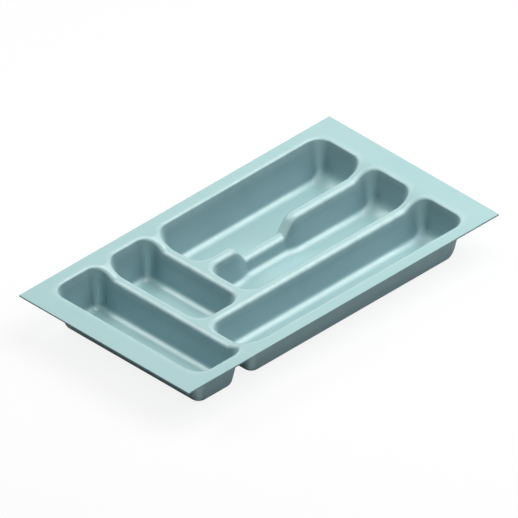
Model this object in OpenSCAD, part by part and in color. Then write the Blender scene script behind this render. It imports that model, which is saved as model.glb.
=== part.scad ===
// Cutlery tray insert for a kitchen drawer, thermoformed from one sheet of plastic.
// A flat trimmed flange frames five drafted pockets, and their dividers are ridges of the same
// sheet, lower than the flange. One divider dips in the middle so that fingers reach under handles.
// Sizes are in millimetres. X is the short way, Y the long way with the crosswise pockets at -Y,
// and Z is up. The origin is in the middle of the footprint, level with the underside of the floors.

/* [Flange] */
// Length of the flange from front to back
flange_length = 490; // [460:5:540]
// Width of the flange from side to side
flange_width = 268; // [256:4:300]
// Flat strip between the pockets and the trimmed edge along the sides
side_margin = 14.5; // [8:0.5:20]
// Flat strip between the pockets and the trimmed edge at the front and the back
end_margin = 30; // [15:1:40]
// Thickness of the formed sheet
sheet = 2; // [1:0.25:2.5]

/* [Pockets] */
// Depth from the top of the flange to the pocket floors
depth = 50; // [48:1:60]
// Draft of the walls from upright, in degrees
draft = 12; // [9:1:13]
// Front to back size of the front crosswise pocket
front_size = 80.5; // [74:0.5:88]
// Front to back size of the short pocket behind it
short_size = 76.3; // [72:0.5:86]
// Width of the left long pocket
left_width = 78.1; // [72:0.5:82]
// Width of the right long pocket
right_width = 79.2; // [72:0.5:82]
// Radius of the walls' vertical corners where they meet the floor
foot_corner = 1.6; // [1:0.2:3]

/* [Fillets] */
// Radius along the flange, where it turns down into a pocket
flange_lip = 3; // [2.8:0.1:4]
// Radius along both sides of a divider's ridge
ridge_lip = 6; // [4:0.5:6.5]
// Radius between the walls and the floor
foot_fillet = 10; // [8:0.5:11]
// Radius of the scoop at the back end of the three long pockets
scoop = 25; // [14:1:28]

/* [Dividers] */
// Width of the flat on top of a ridge
ridge_flat = 2.2; // [1.6:0.2:4]
// Height that the ridges lie below the flange
ridge_drop = 10; // [6:1:12]
// Slope on which the ends of a ridge climb to the flange, in degrees
climb_slope = 22.5; // [18:0.5:30]
// Radius on which that slope runs out into the flange
climb_brow = 28; // [10:1:40]

/* [Finger dip] */
// Height that the dip goes down from the ridge
dip_drop = 20; // [12:1:21]
// Length of the dip's level bottom, to the middle of its bends
dip_bottom = 60; // [40:2:80]
// Middle of the dip, from the middle of the tray towards the back
dip_middle = 43.8; // [35:0.2:60]
// Slope of the dip's two ramps, in degrees
dip_slope = 54; // [40:1:60]
// Radius at the foot of a ramp
dip_foot = 4; // [3:0.5:8]
// Radius at the top of a ramp
dip_brow = 14; // [6:1:16]

/* [Hidden] */

// Facets of a quarter turn in plan, an even number, and of the sections
turn_steps = 8;
lip_steps = 4;
foot_steps = 6;
dip_foot_steps = 3;
dip_brow_steps = 5;

// Length from a fillet's sharp corner to where it touches, between a wall and a level face
function touch(r) = r * tan((90 - draft) / 2);

lean = tan(draft);
lip = touch(flange_lip);
corner = foot_corner + depth * lean + touch(foot_fillet);
scoop_shift = touch(scoop) - touch(foot_fillet);

// The flange's inner edge, and the ridges that split it into pockets
edge_x = flange_width / 2 - side_margin;
edge_y = flange_length / 2 - end_margin;
edge_corner = corner + lip;
brow_end = climb_brow * sin(climb_slope);
run = climb_brow * tan(climb_slope / 2) + ridge_drop / tan(climb_slope);
ridge_touch = touch(ridge_lip) - ridge_drop * lean;
gap = ridge_flat + 2 * ridge_touch;
front_line = -edge_y + lip + (front_size - lip - ridge_touch);
short_line = front_line + gap + (short_size - 2 * ridge_touch);
left_line = -edge_x + lip + (left_width - lip - ridge_touch);
right_line = edge_x - lip - (right_width - lip - ridge_touch);

// Middle lines of the three ridges that end against the side of another pocket
left_ridge_x = left_line + gap / 2;
right_ridge_x = right_line - gap / 2;
short_ridge_y = short_line + gap / 2;

// Each pocket's wall lines at the flange's height as [x0, x1, y0, y1], whether it has the scoop,
// which side has the finger dip (1 for the right, -1 for the left, 0 for neither), and where a
// ridge ends against its back side and its left side
front_pocket = [-edge_x + lip, edge_x - lip, -edge_y + lip, front_line, false, 0, right_ridge_x, undef];
short_pocket = [-edge_x + lip, right_line - gap, front_line + gap, short_line, false, 0, left_ridge_x, undef];
left_pocket = [-edge_x + lip, left_line, short_line + gap, edge_y - lip, true, 1, undef, undef];
middle_pocket = [left_line + gap, right_line - gap, short_line + gap, edge_y - lip, true, -1, undef, undef];
right_pocket = [right_line, edge_x - lip, front_line + gap, edge_y - lip, true, 0, undef, short_ridge_y];
POCKETS = [front_pocket, short_pocket, left_pocket, middle_pocket, right_pocket];
FRONT = 0;
SHORT = FRONT + 1;
LEFT = SHORT + 1;
MIDDLE = LEFT + 1;
RIGHT = MIDDLE + 1;

function unit(v) = v / norm(v);
function flip(list) = [for (i = [len(list) - 1:-1:0]) list[i]];
function total(list, n, i = 0) = i >= n ? 0 : list[i] + total(list, n, i + 1);

// Distance that a plan point lies inside the flange's inner edge, and the way inwards there
function in_corner(x, y) = abs(x) > edge_x - edge_corner && abs(y) > edge_y - edge_corner;
function from_corner(x, y) =
    [x - sign(x) * (edge_x - edge_corner), y - sign(y) * (edge_y - edge_corner)];
function inside(x, y) =
    in_corner(x, y) ? edge_corner - norm(from_corner(x, y)) : min(edge_x - abs(x), edge_y - abs(y));
function inwards(x, y) =
    in_corner(x, y) ? -unit(from_corner(x, y))
    : edge_x - abs(x) < edge_y - abs(y) ? [-sign(x), 0] : [0, -sign(y)];

// The land is the sheet's upper face outside the pockets. From the flange's inner edge it bends down
// on the brow, goes on at an even slope, and is level again at the height of the ridges
function land_slope(deep) =
    deep <= 0 || deep > run - 0.01 ? 0 : deep < brow_end ? asin(deep / climb_brow) : climb_slope;
function land_drop(deep) =
    deep <= 0 ? 0
    : deep < brow_end ? climb_brow - sqrt(climb_brow * climb_brow - deep * deep)
    : min(ridge_drop, climb_brow * (1 - cos(climb_slope)) + (deep - brow_end) * tan(climb_slope));

// Half of the dip from its middle outwards, as points [distance, drop, slope] on the ridge line
ramp_top = dip_bottom / 2 + dip_drop / tan(dip_slope) + dip_brow * tan(dip_slope / 2);
ramp_foot = dip_bottom / 2 - dip_foot * tan(dip_slope / 2);
half_dip = concat(
    [for (i = [0:dip_foot_steps]) let (a = dip_slope * i / dip_foot_steps)
        [ramp_foot + dip_foot * sin(a), dip_drop - dip_foot * (1 - cos(a)), a]],
    [for (i = [dip_brow_steps:-1:0]) let (a = dip_slope * i / dip_brow_steps)
        [ramp_top - dip_brow * sin(a), dip_brow * (1 - cos(a)), a]]
);
dip = concat(
    [for (p = flip(half_dip)) [dip_middle - p[0], p[1], -p[2]]],
    [for (p = half_dip) [dip_middle + p[0], p[1], p[2]]]
);

// Stations of a pocket's outline, counter-clockwise from the right end of its back right corner.
// A station is [wall point, way out, drop, slope, share of the scoop, shift of the scoop's foot]
function turn(c, from, back) =
    [for (i = [0:turn_steps]) let (a = from + 90 * i / turn_steps, way = [cos(a), sin(a)])
        [c + corner * way, way, 0, 0, back ? way[1] : 0, back ? 1 : 0]];
function across(xs, y, way) =
    [for (x = xs) if (abs(y) < edge_y - run) [[x, y], way, 0, 0, 0, 0]];
function along(ys, x, way, back) =
    [for (y = ys) if (abs(x) < edge_x - run)
        [[x, y], way, 0, 0, 0, back && y >= edge_y - run ? 1 : 0]];
function dip_side(x, way) = [for (p = dip) [[x, p[0]], way, p[1], p[2], 0, 0]];
function within(list, low, high) = [for (v = list) if (v != undef && v > low && v < high) v];

function sides(p) =
    let (
        low = p[0] + corner,
        high = p[1] - corner,
        front_xs = within([run - edge_x, edge_x - run], low, high),
        back_xs = within([run - edge_x, p[6], edge_x - run], low, high),
        left_ys = within([p[7], edge_y - run], p[2] + corner, p[3] - corner),
        right_ys = within([edge_y - run], p[2] + corner, p[3] - corner)
    )
    [
        turn([high, p[3] - corner], 0, p[4]),
        across(flip(back_xs), p[3], [0, 1]),
        turn([low, p[3] - corner], 90, p[4]),
        concat(along(flip(left_ys), p[0], [-1, 0], p[4]), p[5] == -1 ? flip(dip_side(p[0], [-1, 0])) : []),
        turn([low, p[2] + corner], 180, false),
        across(front_xs, p[2], [0, -1]),
        turn([high, p[2] + corner], 270, false),
        concat(p[5] == 1 ? dip_side(p[1], [1, 0]) : [], along(right_ys, p[1], [1, 0], p[4]))
    ];

SIDES = [for (p = POCKETS) sides(p)];
STATIONS = [for (s = SIDES) [for (part = s) each part]];
COUNTS = [for (s = STATIONS) len(s)];
RINGS = lip_steps + foot_steps + 2;

// A round arc from a to b that touches the two lines through the corner k
function arc(a, k, b, steps) =
    let (
        u = unit(a - k),
        v = unit(b - k),
        w = sqrt((1 - u * v) / 2)
    )
    [for (i = [0:steps]) let (t = i / steps, f = (1 - t) * (1 - t), g = 2 * w * t * (1 - t), h = t * t)
        (f * a + g * k + h * b) / (f + g + h)];

// The section of the upper face at one station, from the land down to the floor. The lip grows from
// the flange's radius to the ridge's where a turn leads away from the flange
function section(s) =
    let (
        way = s[1],
        shift = s[2] * lean,
        guess = s[0] + lip * way,
        rough = inside(guess[0], guess[1]),
        radius = flange_lip + (ridge_lip - flange_lip) * min(1, max(0, rough) / run),
        out = touch(radius) - land_drop(rough) * lean,
        o = s[0] + out * way,
        deep = inside(o[0], o[1]),
        top = -land_drop(deep) - s[2],
        rise = -tan(land_slope(deep)) * (inwards(o[0], o[1]) * way),
        z = (top + rise * (shift - out)) / (1 - rise * lean),
        apex = wall(s, z),
        start = [o[0], o[1], top],
        reach = norm(start - apex),
        share = s[4],
        high = touch(foot_fillet) + scoop_shift * share,
        foot = wall(s, -depth),
        floor_in = touch(foot_fillet) * way,
        end = [foot[0] - floor_in[0], foot[1] - floor_in[1] - scoop_shift * s[5], -depth]
    )
    concat(
        arc(start, apex, wall(s, apex[2] - reach * cos(draft)), lip_steps),
        arc(wall(s, -depth + high * cos(draft)), foot, end, foot_steps)
    );
function wall(s, z) = let (p = s[0] + (s[2] * lean + z * lean) * s[1]) [p[0], p[1], z];

UPPER = [for (k = [0:len(POCKETS) - 1]) [for (s = STATIONS[k]) section(s)]];

// The way that the sheet faces on the land: on a slope, on the crease at the foot of it, which faces
// halfway and is longer by the mitre, or level
function land_way(s, p) =
    let (
        w = inwards(p[0], p[1]),
        deep = inside(p[0], p[1]),
        steep = land_slope(deep)
    )
    s[2] > 0 ? [0, -sin(s[3]), cos(s[3])]
    : abs(deep - run) < 0.01 ? [w[0] * tan(climb_slope / 2), w[1] * tan(climb_slope / 2), 1]
    : [w[0] * sin(steep), w[1] * sin(steep), cos(steep)];

// The way that it faces at any point of a pocket's grid, from the neighbours of the point
function facing(k, i, r) =
    r == 0 ? land_way(STATIONS[k][i], UPPER[k][i][0])
    : r == RINGS - 1 ? [0, 0, 1]
    : let (
        n = COUNTS[k],
        g = UPPER[k],
        round_way = g[(i + 1) % n][r] - g[(i + n - 1) % n][r],
        down_way = g[i][r + 1] - g[i][r - 1]
    )
    unit(cross(round_way, down_way));

// Spine of points along the middle of each floor, which ends a little inside the floor's flat, and
// the flange's four corners
SPINE = 4;
spine_inset = 5;
function spine(p) =
    let (
        x = (p[0] + p[1]) / 2,
        from = p[2] + corner + spine_inset,
        to = p[3] - corner - scoop_shift * (p[4] ? 1 : 0) - spine_inset
    )
    [for (i = [0:SPINE - 1]) [x, from + (to - from) * i / (SPINE - 1), -depth]];
fx = flange_width / 2;
fy = flange_length / 2;
FLANGE = [[fx, -fy, 0], [fx, fy, 0], [-fx, fy, 0], [-fx, -fy, 0]];

// The upper points in one list, and the lower ones a sheet's thickness behind them
upper = concat(
    [for (k = [0:len(POCKETS) - 1]) for (i = [0:COUNTS[k] - 1]) for (r = [0:RINGS - 1]) UPPER[k][i][r]],
    [for (p = POCKETS) each spine(p)],
    FLANGE
);
ways = concat(
    [for (k = [0:len(POCKETS) - 1]) for (i = [0:COUNTS[k] - 1]) for (r = [0:RINGS - 1]) facing(k, i, r)],
    [for (p = POCKETS) for (i = [0:SPINE - 1]) [0, 0, 1]],
    [for (p = FLANGE) [0, 0, 1]]
);
lift = [0, 0, depth + sheet];
points = concat(
    [for (p = upper) p + lift],
    [for (i = [0:len(upper) - 1]) upper[i] - sheet * ways[i] + lift]
);

// Places of points in that list
function place(k, i, r) = (total(COUNTS, k) + i % COUNTS[k]) * RINGS + r;
grid_size = total(COUNTS, len(COUNTS)) * RINGS;
function spine_place(k, i) = grid_size + k * SPINE + i;
function flange_place(i) = grid_size + len(POCKETS) * SPINE + i % 4;

// A stretch of a pocket's outline on ring r: part 0 to 7 is a turn or a side, counter-clockwise
// from the back right turn, and a turn may be cut at its middle by the two shares
function first(k, part) = total([for (s = SIDES[k]) len(s)], part);
function stretch(k, part, r, from = 0, to = 1) =
    let (n = len(SIDES[k][part]))
    n == 0 ? [] : [for (i = [round(from * (n - 1)):round(to * (n - 1))]) place(k, first(k, part) + i, r)];

// Triangles between two chains of points that run the same way, the second on the right hand
function stitch(a, b, axis, way, i = 0, j = 0) =
    i == len(a) - 1 && j == len(b) - 1 ? []
    : j == len(b) - 1
        || (i < len(a) - 1 && way * upper[a[i + 1]][axis] <= way * upper[b[j + 1]][axis])
        ? concat([[a[i], a[i + 1], b[j]]], stitch(a, b, axis, way, i + 1, j))
        : concat([[a[i], b[j + 1], b[j]]], stitch(a, b, axis, way, i, j + 1));
function fan(chain, tip) = [for (i = [0:len(chain) - 2]) [chain[i], chain[i + 1], tip]];

// Strip of a ridge that runs past the end of another: chain a turns away along the bend and comes
// back, and the triangles of the bend all meet at the point of chain b that lies at t
function tee(before, bend, after, b, axis, t) =
    let (
        last = len(b) - 1,
        m = [for (i = [0:last]) if (abs(upper[b[i]][axis] - t) < 0.01) i][0]
    )
    concat(
        stitch(before, [for (i = [0:m]) b[i]], axis, 1),
        fan(bend, b[m]),
        stitch(after, [for (i = [m:last]) b[i]], axis, 1)
    );

// Walls and fillets of pocket k
function pocket_skin(k) =
    [for (i = [0:COUNTS[k] - 1]) for (r = [0:RINGS - 2])
        let (a = place(k, i, r), b = place(k, i + 1, r), c = place(k, i + 1, r + 1), d = place(k, i, r + 1))
        each [[a, c, b], [a, d, c]]];

// Floor of pocket k, as two strips along its spine and a fan at each end
function pocket_floor(k) =
    let (
        last = RINGS - 1,
        line = [for (i = [0:SPINE - 1]) spine_place(k, i)],
        right = concat(stretch(k, 6, last), stretch(k, 7, last), stretch(k, 0, last)),
        left = flip(concat(stretch(k, 2, last), stretch(k, 3, last), stretch(k, 4, last))),
        front = concat([left[0]], stretch(k, 5, last), [right[0]]),
        back = concat([right[len(right) - 1]], stretch(k, 1, last), [left[len(left) - 1]])
    )
    concat(
        stitch(line, right, 1, 1),
        stitch(left, line, 1, 1),
        [for (i = [0:len(front) - 2]) [front[i], line[0], front[i + 1]]],
        [for (i = [0:len(back) - 2]) [back[i], line[SPINE - 1], back[i + 1]]]
    );

// Outline of pocket k from one part to another, on the land
function outline(k, from, to) = [for (part = [from:to]) each stretch(k, part, 0)];
function start_of(k, part) = place(k, first(k, part), 0);
function end_of(k, part) = place(k, first(k, part + 1) - 1, 0);

// Ridges and their junctions, each as a strip between the pockets on its two sides
front_ridge = tee(
    concat(outline(SHORT, 4, 5), [start_of(SHORT, 6)]),
    concat(stretch(SHORT, 6, 0, 0, 0.5), stretch(RIGHT, 4, 0, 0.5, 1)),
    concat([end_of(RIGHT, 4)], outline(RIGHT, 5, 6)),
    flip(outline(FRONT, 0, 2)),
    0, right_ridge_x
);
short_ridge = tee(
    concat(outline(LEFT, 4, 5), [start_of(LEFT, 6)]),
    concat(stretch(LEFT, 6, 0, 0, 0.5), stretch(MIDDLE, 4, 0, 0.5, 1)),
    concat([end_of(MIDDLE, 4)], stretch(MIDDLE, 5, 0), stretch(MIDDLE, 6, 0, 0, 0.5)),
    flip(concat(stretch(SHORT, 0, 0, 0.5, 1), outline(SHORT, 1, 2))),
    0, left_ridge_x
);
right_ridge = tee(
    concat(stretch(SHORT, 6, 0, 0.5, 1), stretch(SHORT, 7, 0), [start_of(SHORT, 0)]),
    concat(stretch(SHORT, 0, 0, 0, 0.5), stretch(MIDDLE, 6, 0, 0.5, 1)),
    concat([end_of(MIDDLE, 6)], stretch(MIDDLE, 7, 0), stretch(MIDDLE, 0, 0)),
    flip(concat(outline(RIGHT, 2, 3), stretch(RIGHT, 4, 0, 0, 0.5))),
    1, short_ridge_y
);
left_ridge = stitch(
    concat(stretch(LEFT, 6, 0, 0.5, 1), stretch(LEFT, 7, 0), stretch(LEFT, 0, 0)),
    flip(concat(outline(MIDDLE, 2, 3), stretch(MIDDLE, 4, 0, 0, 0.5))),
    1, 1
);

// The flange, as a fan at each corner and a strip along each side
flange = concat(
    fan(stretch(FRONT, 6, 0), flange_place(0)),
    stitch(
        concat(
            [end_of(FRONT, 6)], stretch(FRONT, 7, 0), [start_of(FRONT, 0)],
            [end_of(RIGHT, 6)], stretch(RIGHT, 7, 0), [start_of(RIGHT, 0)]
        ),
        [flange_place(0), flange_place(1)], 1, 1
    ),
    fan(stretch(RIGHT, 0, 0), flange_place(1)),
    stitch(
        concat(
            [end_of(RIGHT, 0)], stretch(RIGHT, 1, 0), [start_of(RIGHT, 2)],
            [end_of(MIDDLE, 0)], stretch(MIDDLE, 1, 0), [start_of(MIDDLE, 2)],
            [end_of(LEFT, 0)], stretch(LEFT, 1, 0), [start_of(LEFT, 2)]
        ),
        [flange_place(1), flange_place(2)], 0, -1
    ),
    fan(stretch(LEFT, 2, 0), flange_place(2)),
    stitch(
        concat(
            [end_of(LEFT, 2)], stretch(LEFT, 3, 0), [start_of(LEFT, 4)],
            [end_of(SHORT, 2)], stretch(SHORT, 3, 0), [start_of(SHORT, 4)],
            [end_of(FRONT, 2)], stretch(FRONT, 3, 0), [start_of(FRONT, 4)]
        ),
        [flange_place(2), flange_place(3)], 1, -1
    ),
    fan(stretch(FRONT, 4, 0), flange_place(3)),
    stitch(
        concat([end_of(FRONT, 4)], stretch(FRONT, 5, 0), [start_of(FRONT, 6)]),
        [flange_place(3), flange_place(0)], 0, 1
    )
);

skin = concat(
    [for (k = [0:len(POCKETS) - 1]) each pocket_skin(k)],
    [for (k = [0:len(POCKETS) - 1]) each pocket_floor(k)],
    front_ridge, short_ridge, right_ridge, left_ridge, flange
);
under = len(upper);
rim = [for (i = [0:3]) let (a = flange_place(i), b = flange_place(i + 1))
    each [[a, b + under, a + under], [a, b, b + under]]];

// The whole tray, as one closed sheet: its upper skin, the same skin below it, and the cut edge
module tray() {
    color([0.69, 0.85, 0.85])
        polyhedron(
            points = points,
            faces = concat(skin, [for (t = skin) [t[2] + under, t[1] + under, t[0] + under]], rim),
            convexity = 10
        );
}

tray();
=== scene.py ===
# Cutlery tray insert for a kitchen drawer: one sheet of plastic drawn over a mould and trimmed.
# X is the short way, Y the long way with the crosswise pockets at -Y, Z is up from the pockets'
# undersides. Lengths in the shape's own sums are millimetres; the mesh is made in metres.
import math

import bpy
import numpy as np
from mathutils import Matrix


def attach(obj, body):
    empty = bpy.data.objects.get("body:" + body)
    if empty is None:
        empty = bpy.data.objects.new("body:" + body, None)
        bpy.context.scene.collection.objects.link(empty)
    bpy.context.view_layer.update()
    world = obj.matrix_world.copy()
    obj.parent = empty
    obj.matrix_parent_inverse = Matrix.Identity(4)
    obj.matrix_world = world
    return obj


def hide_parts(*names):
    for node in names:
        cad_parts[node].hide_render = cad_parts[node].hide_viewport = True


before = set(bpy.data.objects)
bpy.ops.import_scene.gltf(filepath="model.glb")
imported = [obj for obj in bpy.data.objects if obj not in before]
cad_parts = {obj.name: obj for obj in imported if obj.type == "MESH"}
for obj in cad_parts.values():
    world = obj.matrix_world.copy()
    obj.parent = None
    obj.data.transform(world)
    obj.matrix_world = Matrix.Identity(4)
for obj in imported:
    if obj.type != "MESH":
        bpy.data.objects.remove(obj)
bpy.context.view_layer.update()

# The tray is a 2 mm sheet of polystyrene, warmed, drawn down over a mould with drafted walls and
# trimmed round, so every edge and corner of it is a fillet. Nothing is fixed to it, and it lies
# loose in the drawer on the undersides of its pockets.
flange_width, flange_length = 268.0, 490.0
side_margin, end_margin = 14.5, 30.0
thickness, depth, draft = 2.0, 50.0, math.radians(12)
front_size, short_size, left_width, right_width = 80.5, 76.3, 78.1, 79.2
foot_corner, foot_fillet, scoop, scoop_run = 1.6, 10.0, 25.0, 45.0
flange_lip, ridge_lip, ridge_flat, ridge_drop = 3.0, 6.0, 2.2, 10.0
climb, climb_brow, climb_foot = math.radians(22.5), 28.0, 9.0
dip_drop, dip_bottom, dip_middle, dip_foot, dip_brow = 20.0, 60.0, 43.8, 4.0, 14.0
dip_slope, dip_margin = math.radians(54), 8.0
trim, millimetre = 0.3, 0.001
lean = math.tan(draft)

# Rows of a pocket's grid, from the flange down to the middle of the floor, and of the cut edge's arc.
# Places nearer than near are the same place, nothing keeps a divisor above zero, and a wall faces
# straight along X where the X share of its way out is above squarely.
land_rows, lip_rows, wall_rows, foot_rows, floor_rows, cut_rows = 9, 8, 3, 11, 3, 3
near, nothing, squarely = 0.001, 1e-9, 0.999


def touch(radius):
    """Length from the sharp corner between a drafted wall and a level face to where a fillet of
    that radius begins: the radius times the tangent of half the angle turned through."""
    return radius * math.tan((math.pi / 2 - draft) / 2)


lip = touch(flange_lip)
corner = foot_corner + depth * lean + touch(foot_fillet)
scoop_shift = touch(scoop) - touch(foot_fillet)
edge_x, edge_y = flange_width / 2 - side_margin, flange_length / 2 - end_margin
edge_corner = corner + lip
run = climb_brow * math.tan(climb / 2) + ridge_drop / math.tan(climb)
brow_end = climb_brow * math.sin(climb)
foot_end = run + climb_foot * math.tan(climb / 2)
foot_start = foot_end - climb_foot * math.sin(climb)
ridge_touch = touch(ridge_lip) - ridge_drop * lean
gap = ridge_flat + 2 * ridge_touch

# Wall lines at the flange's height, and the middle lines of the four ridges
wall_left, wall_right = lip - edge_x, edge_x - lip
wall_front, wall_back = lip - edge_y, edge_y - lip
front_line = front_size - edge_y - ridge_touch
short_line = front_line + gap + short_size - 2 * ridge_touch
left_line = left_width - edge_x - ridge_touch
right_line = edge_x - right_width + ridge_touch
front_ridge, short_ridge = front_line + gap / 2, short_line + gap / 2
left_ridge, right_ridge = left_line + gap / 2, right_line - gap / 2


def from_edge(x, y):
    """How far a plan point lies inside the flange's inner edge, and the unit way inwards. In a
    corner that is the corner's radius less the distance from its middle; elsewhere it is the
    distance to the nearer side."""
    u, v = np.abs(x) - (edge_x - edge_corner), np.abs(y) - (edge_y - edge_corner)
    turned = (u > 0) & (v > 0)
    r = np.hypot(np.maximum(u, 0), np.maximum(v, 0))
    deep = np.where(turned, edge_corner - r, edge_corner - np.maximum(u, v))
    across = np.where(turned, u / np.maximum(r, nothing), u > v)
    along = np.where(turned, v / np.maximum(r, nothing), u <= v)
    return deep, -np.sign(x) * across, -np.sign(y) * along


def land(deep):
    """Fall and slope of the sheet's face outside the pockets: none on the flange, then an arc, an
    even slope, a smaller arc the other way, and level again on the ridges."""
    brow = np.arcsin(np.clip(deep / climb_brow, 0, 1))
    foot = np.arcsin(np.clip((foot_end - deep) / climb_foot, 0, 1))
    brow_fall = climb_brow * (1 - np.cos(brow))
    even_fall = climb_brow * (1 - math.cos(climb)) + (deep - brow_end) * math.tan(climb)
    foot_fall = ridge_drop - climb_foot * (1 - np.cos(foot))
    parts = [deep <= 0, deep < brow_end, deep < foot_start, deep < foot_end]
    fall = np.select(parts, [0 * deep, brow_fall, even_fall, foot_fall], ridge_drop)
    return fall, np.select(parts, [0 * deep, brow, climb + 0 * deep, foot], 0.0)


# Stops of the finger dip, from its middle outwards: foot arc, ramp, brow arc
ramp_foot = dip_bottom / 2 - dip_foot * math.tan(dip_slope / 2)
ramp_top = dip_bottom / 2 + dip_drop / math.tan(dip_slope) + dip_brow * math.tan(dip_slope / 2)
ramp_low = ramp_foot + dip_foot * math.sin(dip_slope)
ramp_high = ramp_top - dip_brow * math.sin(dip_slope)


def dip(y):
    """Fall of the left ridge at the finger dip: level, an arc up, an even ramp, an arc the other
    way, and nothing beyond it, the same on both sides of its middle."""
    d = np.abs(y - dip_middle)
    low = dip_drop - dip_foot + np.sqrt(np.maximum(dip_foot**2 - (d - ramp_foot) ** 2, 0))
    high = dip_brow - np.sqrt(np.maximum(dip_brow**2 - (ramp_top - d) ** 2, 0))
    ramp = dip_brow * (1 - math.cos(dip_slope)) + (ramp_high - d) * math.tan(dip_slope)
    parts = [d < ramp_foot, d < ramp_low, d < ramp_high, d < ramp_top]
    return np.select(parts, [dip_drop + 0 * d, low, ramp, high], 0.0)


def stations(*pairs):
    """Places along one way: an even number of steps, as given, up to each stop."""
    out = [np.array([pairs[0]])]
    for stop, steps in pairs[1:]:
        out.append(np.linspace(out[-1][-1], stop, steps + 1)[1:])
    return np.concatenate(out)


# Places across and along the tray at which its sections are taken, close together where it bends
end_x, end_y = flange_width / 2 - trim, flange_length / 2 - trim
across_places = stations(
    -end_x, (-edge_x, 6), (brow_end - edge_x, 6), (foot_start - edge_x, 6), (foot_end - edge_x, 4),
    (left_line - corner, 3), (left_ridge, 11), (left_line + gap + corner, 11),
    (right_line - gap - corner, 3), (right_ridge, 11), (right_line + corner, 11),
    (edge_x - foot_end, 3), (edge_x - foot_start, 4), (edge_x - brow_end, 6), (edge_x, 6), (end_x, 6),
)
dip_places = np.concatenate([
    [0, ramp_foot / 2],
    ramp_foot + dip_foot * np.sin(np.linspace(0, dip_slope, 6)),
    np.linspace(ramp_low, ramp_high, 4)[1:-1],
    ramp_top - dip_brow * np.sin(np.linspace(dip_slope, 0, 9)),
])
along_places = np.concatenate([
    stations(
        -end_y, (-edge_y, 10), (brow_end - edge_y, 6), (foot_start - edge_y, 6), (foot_end - edge_y, 4),
        (front_line - corner, 3), (front_ridge, 11), (front_line + gap + corner, 11),
        (short_line - corner, 3), (short_ridge, 11), (short_line + gap + corner, 11),
        (dip_middle - ramp_top - dip_margin, 2),
    ),
    dip_middle - dip_places[:0:-1],
    dip_middle + dip_places,
    stations(
        dip_middle + ramp_top + dip_margin, (edge_y - foot_end, 5), (edge_y - foot_start, 4),
        (edge_y - brow_end, 6), (edge_y, 6), (end_y, 10),
    ),
])


def border(x0, x1, y0, y1):
    """Plan points once round a pocket's share of the land, at the sections' places along it."""
    xs = across_places[(across_places > x0 - near) & (across_places < x1 + near)]
    ys = along_places[(along_places > y0 - near) & (along_places < y1 + near)]
    return np.concatenate([
        np.stack([0 * ys + x1, ys], 1)[:-1],
        np.stack([xs[::-1], 0 * xs + y1], 1)[:-1],
        np.stack([0 * ys + x0, ys[::-1]], 1)[:-1],
        np.stack([xs, 0 * xs + y0], 1)[:-1],
    ])


def arc(start, apex, end, shares, bulge):
    """Round arc that touches the lines start to apex and apex to end: the rational curve
    ((1-t)^2 start + 2wt(1-t) apex + t^2 end) over the same sum of weights, w being bulge."""
    t = shares[None, :, None]
    f, g, h = (1 - t) ** 2, 2 * bulge * t * (1 - t), t**2
    return (f * start[:, None] + g * apex[:, None] + h * end[:, None]) / (f + g + h)


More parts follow.
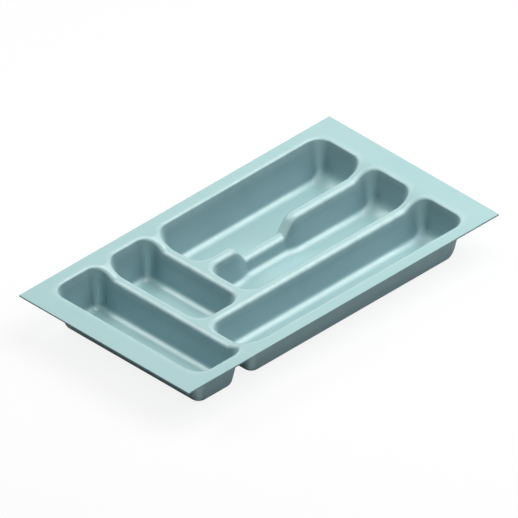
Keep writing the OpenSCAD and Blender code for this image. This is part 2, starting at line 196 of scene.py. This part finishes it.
def pocket(walls, share, scooped=0, dipped=0):
    """One pocket with its share of the land, as a grid of points: around by down. Around, a border
    point's nearest point on the rectangle between the corners' middles gives the way out, and the
    wall's line lies a corner's radius out from it. Down, the rows are the land, the lip's arc, the
    wall, the foot's arc and the floor up to its middle line. Its back end is scooped or not, and
    dipped is the side, 1 or -1, on which the dipped ridge lies. With the grid goes how far round a
    corner each border point is: the sine of twice the angle to the fourth power, 1 at 45 degrees."""
    x0, x1, y0, y1 = walls
    rim = border(*share)
    core = np.clip(rim, [x0 + corner, y0 + corner], [x1 - corner, y1 - corner])
    way = rim - core
    way /= np.linalg.norm(way, axis=1, keepdims=True)
    line = core + corner * way
    faces_dip = way[:, 0] * dipped > squarely
    fall = np.where(faces_dip, dip(rim[:, 1]), 0.0)

    def wall(z):
        """Point of the drafted wall at height z, leaning out with height; the dip's fall moves it."""
        return np.concatenate([line + ((fall + z) * lean)[:, None] * way, (z + 0 * fall)[:, None]], 1)

    # The lip, from where it leaves the land to where it touches the wall
    rough = from_edge(*(line + lip * way).T)[0]
    radius = flange_lip + (ridge_lip - flange_lip) * np.clip(rough / run, 0, 1)
    out = radius * touch(1) - land(rough)[0] * lean
    start = line + out[:, None] * way
    deep, in_x, in_y = from_edge(*start.T)
    sunk, steep = land(deep)
    rise = -np.tan(steep) * (in_x * way[:, 0] + in_y * way[:, 1])
    top = -sunk - fall
    apex = wall((top + rise * (fall * lean - out)) / (1 - rise * lean))
    start = np.concatenate([start, top[:, None]], 1)
    reach = np.linalg.norm(start - apex, axis=1)
    below = wall(apex[:, 2] - reach * math.cos(draft))
    to_apex, to_wall = start - apex, below - apex
    turned = (to_apex * to_wall).sum(1) / np.maximum(reach**2, nothing)
    lip_bulge = np.sqrt((1 - turned) / 2)[:, None, None]

    # The foot, from where it leaves the wall to where it touches the floor, wider at a scooped end
    back = np.clip((line[:, 1] - (y1 - corner - scoop_run)) / scoop_run, 0, 1) * scooped
    shift = back * back * (3 - 2 * back)
    facing_back = np.where(line[:, 1] > y1 - corner, np.maximum(way[:, 1], 0), 0) * scooped
    high = touch(foot_fillet) + scoop_shift * facing_back
    foot = wall(0 * fall - depth)
    above = wall(high * math.cos(draft) - depth)
    plan = np.concatenate([way, 0 * way[:, :1]], 1)
    end = foot - touch(foot_fillet) * plan - np.array([[0, scoop_shift, 0]]) * shift[:, None]
    foot_bulge = math.sin((math.pi / 2 + draft) / 2)

    # The floor's middle line runs the long way, and stops half the floor's width from its ends
    low, top_end = end[:, :2].min(0), end[:, :2].max(0)
    middle, half = (low + top_end) / 2, (top_end - low).min() / 2
    long_way = top_end - low > 2 * half + 1
    spine = np.where(long_way, np.clip(end[:, :2], low + half, top_end - half), middle)
    spine = np.concatenate([spine, end[:, 2:]], 1)

    land_shares = np.linspace(1, 0, land_rows + 1)[:-1, None, None]
    flat = start[None, :, :2] + (rim - start[:, :2])[None] * land_shares
    level = -land(from_edge(flat[..., 0], flat[..., 1])[0])[0] - fall
    ground = np.concatenate([flat, level[..., None]], 2).transpose(1, 0, 2)
    lips = arc(start, apex, below, np.linspace(0, 1, lip_rows), lip_bulge)
    wall_shares = np.linspace(0, 1, wall_rows + 2)[None, 1:-1, None]
    drafted = below[:, None] + (above - below)[:, None] * wall_shares
    feet = arc(above, foot, end, np.linspace(0, 1, foot_rows), foot_bulge)
    floor_shares = np.linspace(0, 1, floor_rows + 1)[None, 1:, None]
    bottom = end[:, None] + (spine - end)[:, None] * floor_shares
    grid = np.concatenate([ground, lips, drafted, feet, bottom], 1)
    return grid, (2 * way[:, 0] * way[:, 1]) ** 4


# The front pocket, the short one behind it, and the left, middle and right long ones: each with its
# walls' lines and its share of the land, as left, right, front and back
grids, cornered = zip(
    pocket(
        (wall_left, wall_right, wall_front, front_line),
        (-end_x, end_x, -end_y, front_ridge),
    ),
    pocket(
        (wall_left, right_line - gap, front_line + gap, short_line),
        (-end_x, right_ridge, front_ridge, short_ridge),
    ),
    pocket(
        (wall_left, left_line, short_line + gap, wall_back),
        (-end_x, left_ridge, short_ridge, end_y),
        scooped=1, dipped=1,
    ),
    pocket(
        (left_line + gap, right_line - gap, short_line + gap, wall_back),
        (left_ridge, right_ridge, short_ridge, end_y),
        scooped=1, dipped=-1,
    ),
    pocket(
        (right_line, wall_right, front_line + gap, wall_back),
        (right_ridge, end_x, front_ridge, end_y),
        scooped=1,
    ),
)


def quads(around, down, first):
    """Corners of the quads of a grid that closes on itself around, counter-clockwise from above."""
    i, j = np.meshgrid(np.arange(around), np.arange(down - 1), indexing="ij")
    a, b = first + i * down + j, first + (i + 1) % around * down + j
    return np.stack([a, b, b + 1, a + 1], -1).reshape(-1, 4)


def joined(points, faces):
    """Points that fall together, to a ten-thousandth of a millimetre, become one, and a quad that
    so loses a corner is turned to start with the doubled one."""
    keys, kept, index = np.unique(np.round(points, 4), axis=0, return_index=True, return_inverse=True)
    faces = index.reshape(-1)[faces]
    for k in range(4):
        lost = faces[:, k] == faces[:, (k + 1) % 4]
        faces[lost] = np.roll(faces[lost], -k, axis=1)
    return keys, faces, kept


def outward(points, faces):
    """Unit way out at each point: the sum of the cross products of its faces' diagonals over that
    sum's length, so that a large flat face keeps its own way up to its edge."""
    p = points[faces]
    area = np.cross(p[:, 2] - p[:, 0], p[:, 3] - p[:, 1])
    total = np.zeros_like(points)
    for k in range(4):
        distinct = faces[:, k] != faces[:, (k + 1) % 4]
        np.add.at(total, faces[distinct, k], area[distinct])
    return total / np.linalg.norm(total, axis=1, keepdims=True)


firsts = np.cumsum([0] + [g.shape[0] * g.shape[1] for g in grids])
points = np.concatenate([g.reshape(-1, 3) for g in grids])
faces = np.concatenate([quads(g.shape[0], g.shape[1], f) for g, f in zip(grids, firsts)])
upper, faces, kept = joined(points, faces)
lower = upper - thickness * outward(upper, faces)
count = len(upper)

# The trimmed edge of the flange, cut square and broken with a scraper: one arc from each face round
# to the upright cut, carried along the whole outline
outline = np.array([end_x, end_y, np.inf]) - near
ring = np.flatnonzero((np.abs(upper) > outline).any(1))
ring = ring[np.argsort(np.arctan2(upper[ring, 1] / end_y, upper[ring, 0] / end_x))]
side = np.sign(upper[ring]) * (np.abs(upper[ring]) > outline)
bends = np.linspace(0, math.pi / 2, cut_rows + 1)[1:, None, None]
upright = np.array([0, 0, 1.0])
cut = upper[ring] + trim * (side * np.sin(bends) - upright * (1 - np.cos(bends)))
cut = np.concatenate([cut, (cut * [1, 1, -1] - thickness * upright)[::-1]])
cut_index = 2 * count + np.arange(2 * cut_rows * len(ring)).reshape(2 * cut_rows, -1)
rows = np.concatenate([ring[None], cut_index, count + ring[None]])
turned_on = np.roll(rows, -1, axis=1)
edge_faces = np.stack([rows[:-1], rows[1:], turned_on[1:], turned_on[:-1]], -1).reshape(-1, 4)

# Both skins and the edge as one closed mesh, in metres, standing on the pockets' undersides
all_faces = np.concatenate([faces, faces[:, ::-1] + count, edge_faces])
whole = ~(all_faces == np.roll(all_faces, 1, axis=1)).any(1)
triangles = [list(dict.fromkeys(face)) for face in all_faces[~whole].tolist()]
all_points = np.concatenate([upper, lower, cut.reshape(-1, 3)]) + [0, 0, depth + thickness]
all_points *= millimetre
mesh = bpy.data.meshes.new("formed_sheet")
mesh.from_pydata(all_points.tolist(), [], all_faces[whole].tolist() + triangles)
mesh.shade_smooth()


def wave(first, length, power):
    """A value for each row of a pocket's grid: half a sine wave to that power over the rows from
    the first on, as many as its length, and none on the others."""
    values = np.zeros(land_rows + lip_rows + wall_rows + foot_rows + floor_rows)
    values[first:first + length] = np.sin(np.linspace(0, math.pi, length)) ** power
    return values


# Painted shade on the sheet, row by row in those grids: none on the land, more with the square of the
# way down the lip, full on the walls and a little on the floors; down the foot's arc it eases by 3t^2 -
# 2t^3. Down the upright corners a painted highlight makes it paler. The lips and the middle of the
# foot's arc are paler too, partly from the wear of hands and cutlery and partly as a painted highlight.
first_lip, first_foot = land_rows, land_rows + lip_rows + wall_rows
ease_from, ease_over, ease_by, floor_painted_shade = 0.05, 0.55, 0.93, 0.05
eased = np.clip((np.linspace(0, 1, foot_rows) - ease_from) / ease_over, 0, 1)
painted_wall_shade_rows = np.concatenate([
    np.zeros(land_rows), np.linspace(0, 1, lip_rows) ** 2, np.ones(wall_rows),
    1 - ease_by * eased**2 * (3 - 2 * eased), np.full(floor_rows, floor_painted_shade),
])
highlight_and_wear_rows = wave(first_lip - 2, lip_rows + 3, 1) + wave(first_foot + 2, 7, 2)
corner_highlight_rows = wave(first_lip + 4, 14, 0.5)
painted_wall_shade = np.concatenate([np.tile(painted_wall_shade_rows, len(g)) for g in grids])[kept]
highlight_and_wear = np.concatenate([np.tile(highlight_and_wear_rows, len(g)) for g in grids])[kept]
corner_highlight = np.concatenate([np.outer(c, corner_highlight_rows).reshape(-1) for c in cornered])[kept]
nowhere = np.zeros(count)
for name, on_upper, on_lower, on_cut in (
    ("painted_wall_shade", painted_wall_shade, painted_wall_shade, 0), ("highlight_and_wear", highlight_and_wear, nowhere, 0), ("corner_highlight", corner_highlight, corner_highlight, 0),
    ("trimmed", nowhere, nowhere, 1),
):
    values = np.concatenate([on_upper, on_lower, np.full(len(all_points) - 2 * count, on_cut)])
    mesh.attributes.new(name, "FLOAT", "POINT").data.foreach_set("value", values)
mesh.set_sharp_from_angle(angle=math.radians(50))
tray = bpy.data.objects.new("formed_sheet", mesh)
bpy.context.scene.collection.objects.link(tray)
even = tray.modifiers.new("even_shading", "WEIGHTED_NORMAL")
even.keep_sharp = True

# The plastic: pale blue-green all through with a slight mottle, a satin face with the mould's fine
# grain, and a duller cut edge; painted shade deepens the walls and the cut edge, painted highlight
# lightens the upright corners, and the lips and feet are paler, partly from wear and partly as painted
# highlight
plastic = bpy.data.materials.new("pale_blue_green_polystyrene")
plastic.use_nodes = True
tree = plastic.node_tree
shader = tree.nodes["Principled BSDF"]
place = tree.nodes.new("ShaderNodeTexCoord").outputs["Object"]


def linear(r, g, b):
    """A colour read off a screen, 0 to 255, as the linear values that the shader takes."""
    v = np.array([r, g, b]) / 255
    return tuple(np.where(v < 0.04045, v / 12.92, ((v + 0.055) / 1.055) ** 2.4)) + (1.0,)


def noise(scale, detail):
    """Even mottle with features of about one part in scale of a metre."""
    node = tree.nodes.new("ShaderNodeTexNoise")
    node.inputs["Scale"].default_value = scale
    node.inputs["Detail"].default_value = detail
    tree.links.new(place, node.inputs["Vector"])
    return node.outputs["Fac"]


def spread(source, low, high):
    """A mottle from 0.3 to 0.7, where most of it lies, carried evenly to the range from low to
    high, and held at its ends beyond."""
    node = tree.nodes.new("ShaderNodeMapRange")
    node.inputs["From Min"].default_value = 0.3
    node.inputs["From Max"].default_value = 0.7
    node.inputs["To Min"].default_value = low
    node.inputs["To Max"].default_value = high
    tree.links.new(source, node.inputs["Value"])
    return node.outputs["Result"]


def blend_of(share, first, second):
    """Colour between two others by a share from 0 to 1; each is a colour or a socket."""
    node = tree.nodes.new("ShaderNodeMix")
    node.data_type = "RGBA"
    tree.links.new(share, node.inputs["Factor"])
    for socket, colour in (("A", first), ("B", second)):
        if isinstance(colour, tuple):
            node.inputs[socket].default_value = colour
        else:
            tree.links.new(colour, node.inputs[socket])
    return node.outputs["Result"]


def carried(name):
    """The value that the mesh carries under that name at each point."""
    node = tree.nodes.new("ShaderNodeAttribute")
    node.attribute_name = name
    return node.outputs["Fac"]


def product(first, second):
    """One source times another."""
    node = tree.nodes.new("ShaderNodeMath")
    node.operation = "MULTIPLY"
    tree.links.new(first, node.inputs[0])
    tree.links.new(second, node.inputs[1])
    return node.outputs["Value"]


# Painted highlight colours: the first for the upright corners, the second for the lips and feet, where
# it is partly wear
corner_highlight_colour, highlight_and_wear_colour = linear(196, 226, 229), linear(199, 230, 231)
# Painted shade colour of the cut edge; its duller roughness is real
cut_edge_shade_colour, cut_gloss = linear(112, 141, 146), (0.5, 0.5, 0.5, 1)
thick = blend_of(spread(noise(11, 3), 0, 1), linear(175, 214, 215), linear(180, 217, 218))
# Painted shade: a deeper colour on the walls, their undersides, the lower part of the lips and a little
# of the floors
shaded_wall_colour = blend_of(spread(noise(23, 3), 0, 1), linear(136, 167, 174), linear(142, 173, 179))
sheet = blend_of(carried("painted_wall_shade"), thick, shaded_wall_colour)
# Painted highlight: the upright corners of the pockets are paler
sheet = blend_of(carried("corner_highlight"), sheet, corner_highlight_colour)
# Paler lips and feet: partly wear, partly a painted highlight along them
highlight_and_wear_share = product(carried("highlight_and_wear"), spread(noise(70, 3), 0.5, 1))
sheet = blend_of(highlight_and_wear_share, sheet, highlight_and_wear_colour)
# Painted shade on the cut edge
sheet = blend_of(carried("trimmed"), sheet, cut_edge_shade_colour)
gloss = blend_of(carried("trimmed"), spread(noise(60, 4), 0.20, 0.26), cut_gloss)
tree.links.new(sheet, shader.inputs["Base Color"])
tree.links.new(gloss, shader.inputs["Roughness"])
grain = tree.nodes.new("ShaderNodeBump")
grain.inputs["Strength"].default_value = 0.35
grain.inputs["Distance"].default_value = 0.00006
tree.links.new(noise(1500, 2), grain.inputs["Height"])
tree.links.new(grain.outputs["Normal"], shader.inputs["Normal"])
shader.inputs["IOR"].default_value = 1.59
mesh.materials.append(plastic)

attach(tray, "root")
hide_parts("tray")

# The floor: plain pale board, eight metres square and a hair below the tray, which the camera sees
# nearly white and which keeps the tray's soft shadow.
floor_half, floor_level, white_share = 4.0, -0.0002, 0.8
floor_corners = [
    (x * floor_half, y * floor_half, floor_level) for x, y in ((-1, -1), (1, -1), (1, 1), (-1, 1))
]
floor_mesh = bpy.data.meshes.new("floor")
floor_mesh.from_pydata(floor_corners, [], [(0, 1, 2, 3)])
floor = bpy.data.objects.new("floor", floor_mesh)
bpy.context.scene.collection.objects.link(floor)
board = bpy.data.materials.new("pale_board")
board.use_nodes = True
nodes, links = board.node_tree.nodes, board.node_tree.links
dull = nodes["Principled BSDF"]
dull.inputs["Base Color"].default_value = (0.72, 0.72, 0.72, 1)
dull.inputs["Roughness"].default_value = 0.9
white = nodes.new("ShaderNodeEmission")
white.inputs["Color"].default_value = (1, 1, 1, 1)
white.inputs["Strength"].default_value = 1.08
seen = nodes.new("ShaderNodeLightPath")
seen_white = nodes.new("ShaderNodeMath")
seen_white.operation = "MULTIPLY"
seen_white.inputs[1].default_value = white_share
blend = nodes.new("ShaderNodeMixShader")
links.new(seen.outputs["Is Camera Ray"], seen_white.inputs[0])
links.new(seen_white.outputs["Value"], blend.inputs["Fac"])
links.new(dull.outputs["BSDF"], blend.inputs[1])
links.new(white.outputs["Emission"], blend.inputs[2])
links.new(blend.outputs["Shader"], nodes["Material Output"].inputs["Surface"])
floor_mesh.materials.append(board)


# The lamps, all about 1.8 m from the tray. A wide one overhead, a little to the back right, does most
# of the work, one at the back right and one at the front left draw the light lines along the walls'
# feet, and a weak one on the left fills in. The room is dim, and white where it is seen or mirrored.
def lamp(name, place_at, size, power):
    """A square soft lamp of that size at a place, turned to face the tray."""
    data = bpy.data.lights.new(name, "AREA")
    data.shape = "SQUARE"
    data.size = size
    data.energy = power
    hung = bpy.data.objects.new(name, data)
    bpy.context.scene.collection.objects.link(hung)
    hung.location = place_at
    hung.rotation_euler = hung.location.to_track_quat("Z", "Y").to_euler()


lamp("overhead", (0.25, 0.55, 1.68), 1.24, 20.6)
lamp("back_right", (0.88, 1.04, 1.17), 0.9, 9.1)
lamp("front_left", (-1.04, -0.84, 1.2), 0.7, 5.5)
lamp("left", (-1.12, -0.25, 1.38), 0.62, 4.6)
world = bpy.data.worlds.new("pale_room")
bpy.context.scene.world = world
world.use_nodes = True
nodes, links = world.node_tree.nodes, world.node_tree.links
dim = nodes["Background"]
dim.inputs["Color"].default_value = (0.97, 0.99, 1, 1)
dim.inputs["Strength"].default_value = 0.02
backdrop = nodes.new("ShaderNodeBackground")
backdrop.inputs["Color"].default_value = (1, 1, 1, 1)
backdrop.inputs["Strength"].default_value = 1.0
seen = nodes.new("ShaderNodeLightPath")
either = nodes.new("ShaderNodeMath")
either.operation = "MAXIMUM"
blend = nodes.new("ShaderNodeMixShader")
links.new(seen.outputs["Is Camera Ray"], either.inputs[0])
links.new(seen.outputs["Is Glossy Ray"], either.inputs[1])
links.new(either.outputs["Value"], blend.inputs["Fac"])
links.new(dim.outputs["Background"], blend.inputs[1])
links.new(backdrop.outputs["Background"], blend.inputs[2])
links.new(blend.outputs["Shader"], nodes["World Output"].inputs["Surface"])

# The camera: a true isometric view without perspective, from the front right and above, at 0.8955
# pixels to the millimetre, with the middle of the flange 4.4 pixels above the middle of the frame.
frame_pixels, pixels_per_metre, flange_above, camera_distance = 518, 895.5, 4.4, 2.0
toward = np.array([1.0, -1.0, 1.0]) / math.sqrt(3)
up_screen = np.array([-1.0, 1.0, 2.0]) / math.sqrt(6)
flange_middle = np.array([0, 0, (depth + thickness) * millimetre])
camera_data = bpy.data.cameras.new("camera")
camera_data.type = "ORTHO"
camera_data.ortho_scale = frame_pixels / pixels_per_metre
camera_data.clip_end = 20
camera = bpy.data.objects.new("camera", camera_data)
scene = bpy.context.scene
scene.collection.objects.link(camera)
camera.location = flange_middle - up_screen * flange_above / pixels_per_metre + camera_distance * toward
camera.rotation_euler = (math.acos(1 / math.sqrt(3)), 0, math.radians(45))
scene.camera = camera
scene.view_settings.view_transform = "Standard"
